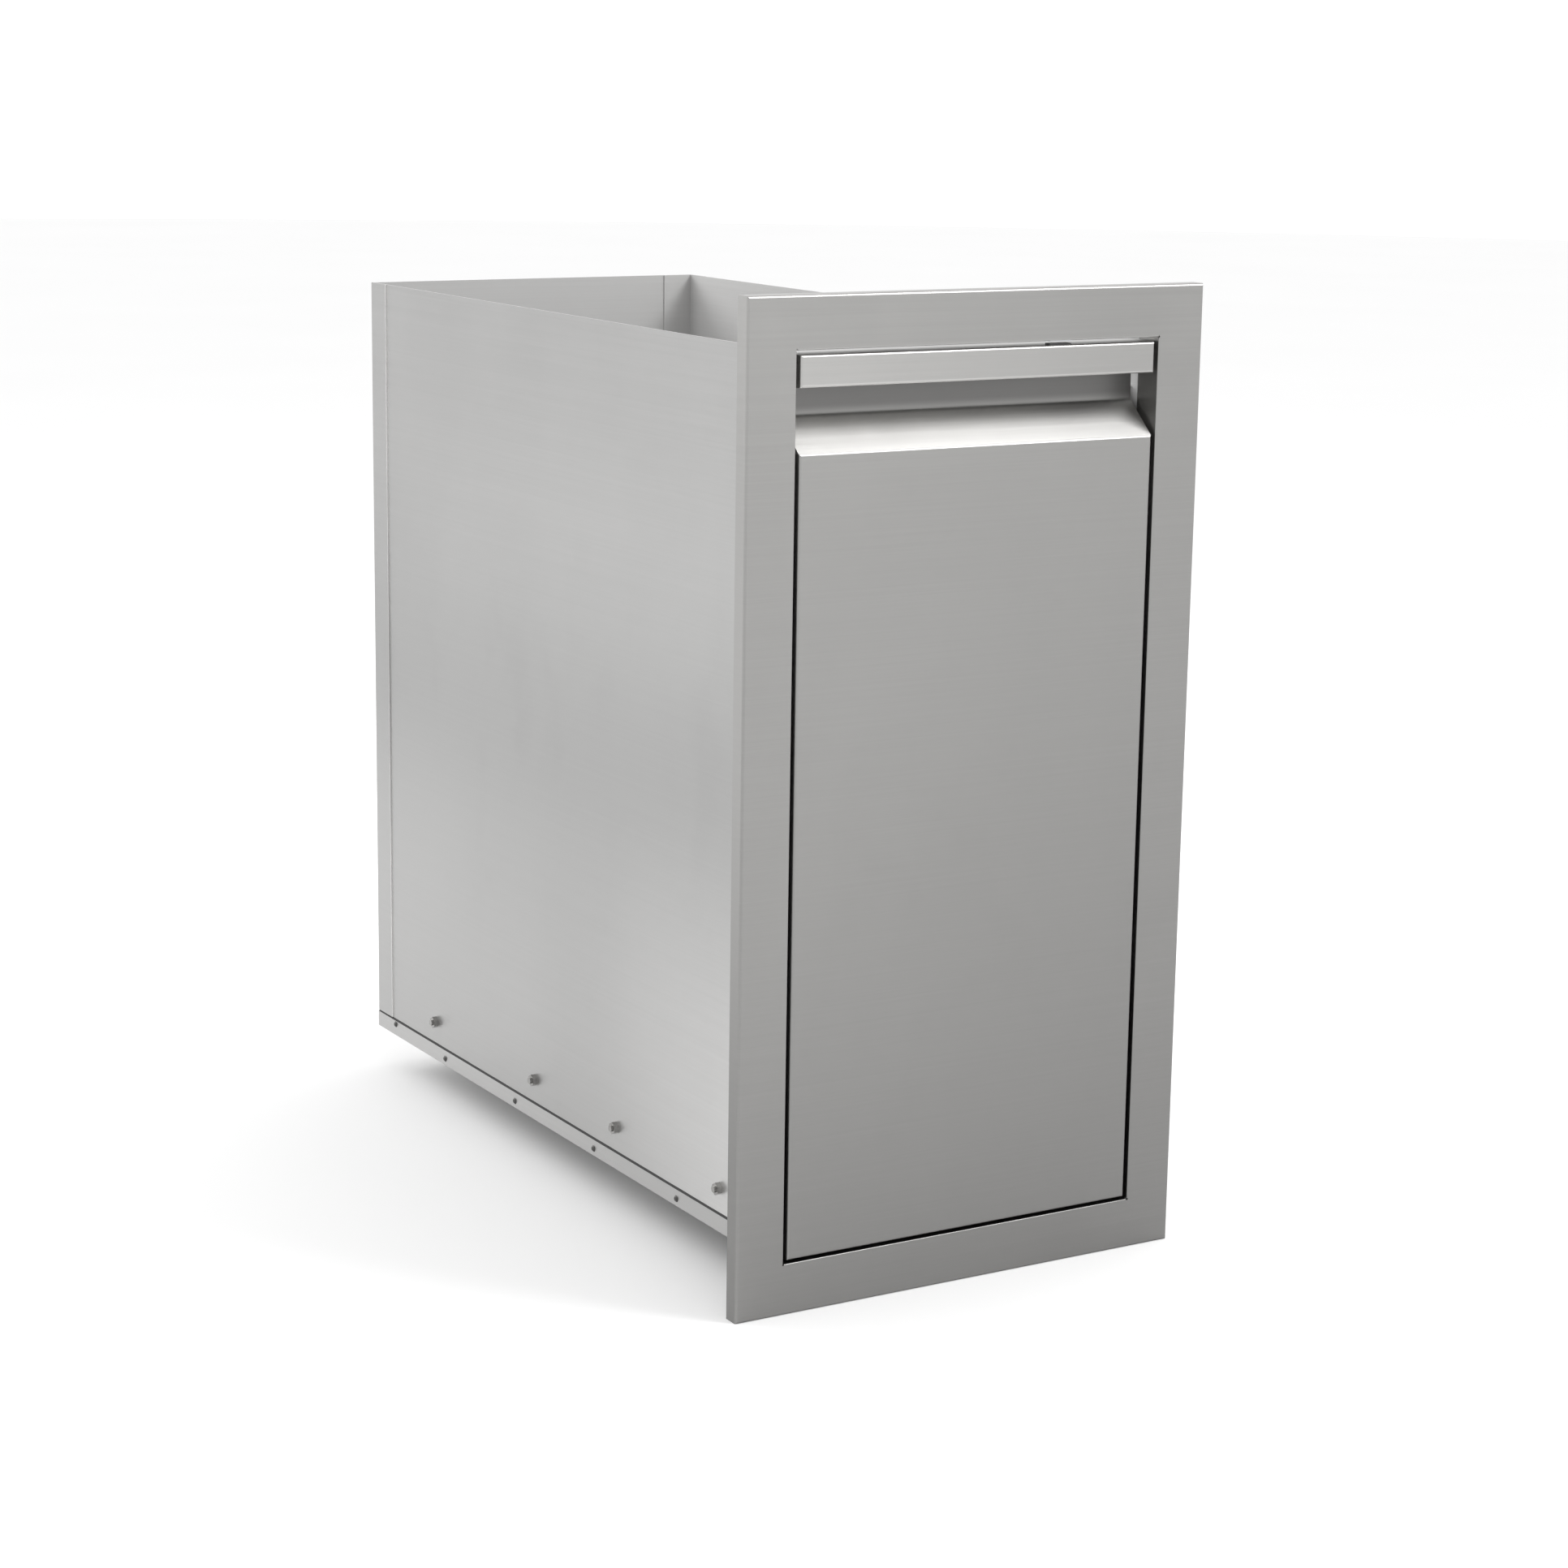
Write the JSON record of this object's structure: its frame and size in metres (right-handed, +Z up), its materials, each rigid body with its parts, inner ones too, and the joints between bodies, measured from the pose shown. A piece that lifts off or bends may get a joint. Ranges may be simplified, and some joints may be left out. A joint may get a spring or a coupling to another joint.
{
  "type": "pull-out trash drawer",
  "caption": "Built-in stainless pull-out trash drawer: framed front with finger recess and handle bar, open-topped housing, ball-bearing slides, tray and lift-out bin.",
  "frame": {"origin": "middle of the front frame's bottom edge, in the plane of its rear seat, which meets the cabinet's face", "axes": "+X to the right across the front, +Y into the cabinet, +Z up"},
  "size_m": [0.362, 0.6682, 0.692],
  "materials": {
    "brushed_stainless_face": "fine brushed grain, no. 4",
    "brushed_stainless": "fine satin sheet",
    "fastener_steel": "plain stainless fasteners",
    "zinc_plated_steel": "bright zinc plate",
    "bearing_steel": "polished balls",
    "black_rubber": "matt rubber",
    "black_plastic": "matt moulded",
    "bin_plastic": "fine-grained polypropylene"
  },
  "bodies": {
    "housing": {"front_frame": "brushed_stainless_face", "left_side_panel": "brushed_stainless", "right_side_panel": "brushed_stainless", "back_panel": "brushed_stainless", "bottom_pan": "brushed_stainless", "pan_rivets": "fastener_steel", "left_outer_slide": "zinc_plated_steel", "right_outer_slide": "zinc_plated_steel", "slide_screws": "fastener_steel", "slide_nuts": "fastener_steel", "stop_brackets": "brushed_stainless", "stop_rivets": "fastener_steel", "stop_bumpers": "black_rubber", "catch_keeper": "zinc_plated_steel"},
    "drawer": {"drawer_front_skin": "brushed_stainless_face", "handle_bar": "brushed_stainless_face", "drawer_front_liner": "brushed_stainless", "liner_screws": "fastener_steel", "handle_screws": "fastener_steel", "catch_magnet": "black_plastic", "drawer_tray": "brushed_stainless", "tray_screws": "fastener_steel", "left_inner_slide": "zinc_plated_steel", "right_inner_slide": "zinc_plated_steel", "inner_slide_screws": "fastener_steel", "left_gusset": "brushed_stainless", "right_gusset": "brushed_stainless", "gusset_rivets": "fastener_steel", "bin_stop": "brushed_stainless", "bin_stop_rivets": "fastener_steel"},
    "bin": {"trash_bin": "bin_plastic"},
    "left_middle": {"left_middle_slide": "zinc_plated_steel"},
    "left_outer_cage": {"left_outer_ball_cage": "zinc_plated_steel", "left_outer_balls": "bearing_steel"},
    "left_inner_cage": {"left_inner_ball_cage": "zinc_plated_steel", "left_inner_balls": "bearing_steel"},
    "right_middle": {"right_middle_slide": "zinc_plated_steel"},
    "right_outer_cage": {"right_outer_ball_cage": "zinc_plated_steel", "right_outer_balls": "bearing_steel"},
    "right_inner_cage": {"right_inner_ball_cage": "zinc_plated_steel", "right_inner_balls": "bearing_steel"}
  },
  "joints": [
    {"name": "drawer_slide", "type": "slide", "parent": "housing", "child": "drawer", "axis": [0, -1, 0], "range_m": [0, 0.56]},
    {"name": "left_middle_travel", "type": "slide", "parent": "housing", "child": "left_middle", "axis": [0, -1, 0], "range_m": [0, 0.28]},
    {"name": "left_outer_cage_travel", "type": "slide", "parent": "housing", "child": "left_outer_cage", "axis": [0, -1, 0], "range_m": [0, 0.14]},
    {"name": "left_inner_cage_travel", "type": "slide", "parent": "housing", "child": "left_inner_cage", "axis": [0, -1, 0], "range_m": [0, 0.42]},
    {"name": "right_middle_travel", "type": "slide", "parent": "housing", "child": "right_middle", "axis": [0, -1, 0], "range_m": [0, 0.28]},
    {"name": "right_outer_cage_travel", "type": "slide", "parent": "housing", "child": "right_outer_cage", "axis": [0, -1, 0], "range_m": [0, 0.14]},
    {"name": "right_inner_cage_travel", "type": "slide", "parent": "housing", "child": "right_inner_cage", "axis": [0, -1, 0], "range_m": [0, 0.42]},
    {"name": "bin_lift", "type": "slide", "parent": "drawer", "child": "bin", "axis": [0, 0, 1], "range_m": [0, 0.62]}
  ],
  "couplings": [
    {"joint": "left_middle_travel", "follows": "drawer_slide", "ratio": 0.5},
    {"joint": "left_outer_cage_travel", "follows": "drawer_slide", "ratio": 0.25},
    {"joint": "left_inner_cage_travel", "follows": "drawer_slide", "ratio": 0.75},
    {"joint": "right_middle_travel", "follows": "drawer_slide", "ratio": 0.5},
    {"joint": "right_outer_cage_travel", "follows": "drawer_slide", "ratio": 0.25},
    {"joint": "right_inner_cage_travel", "follows": "drawer_slide", "ratio": 0.75}
  ]
}
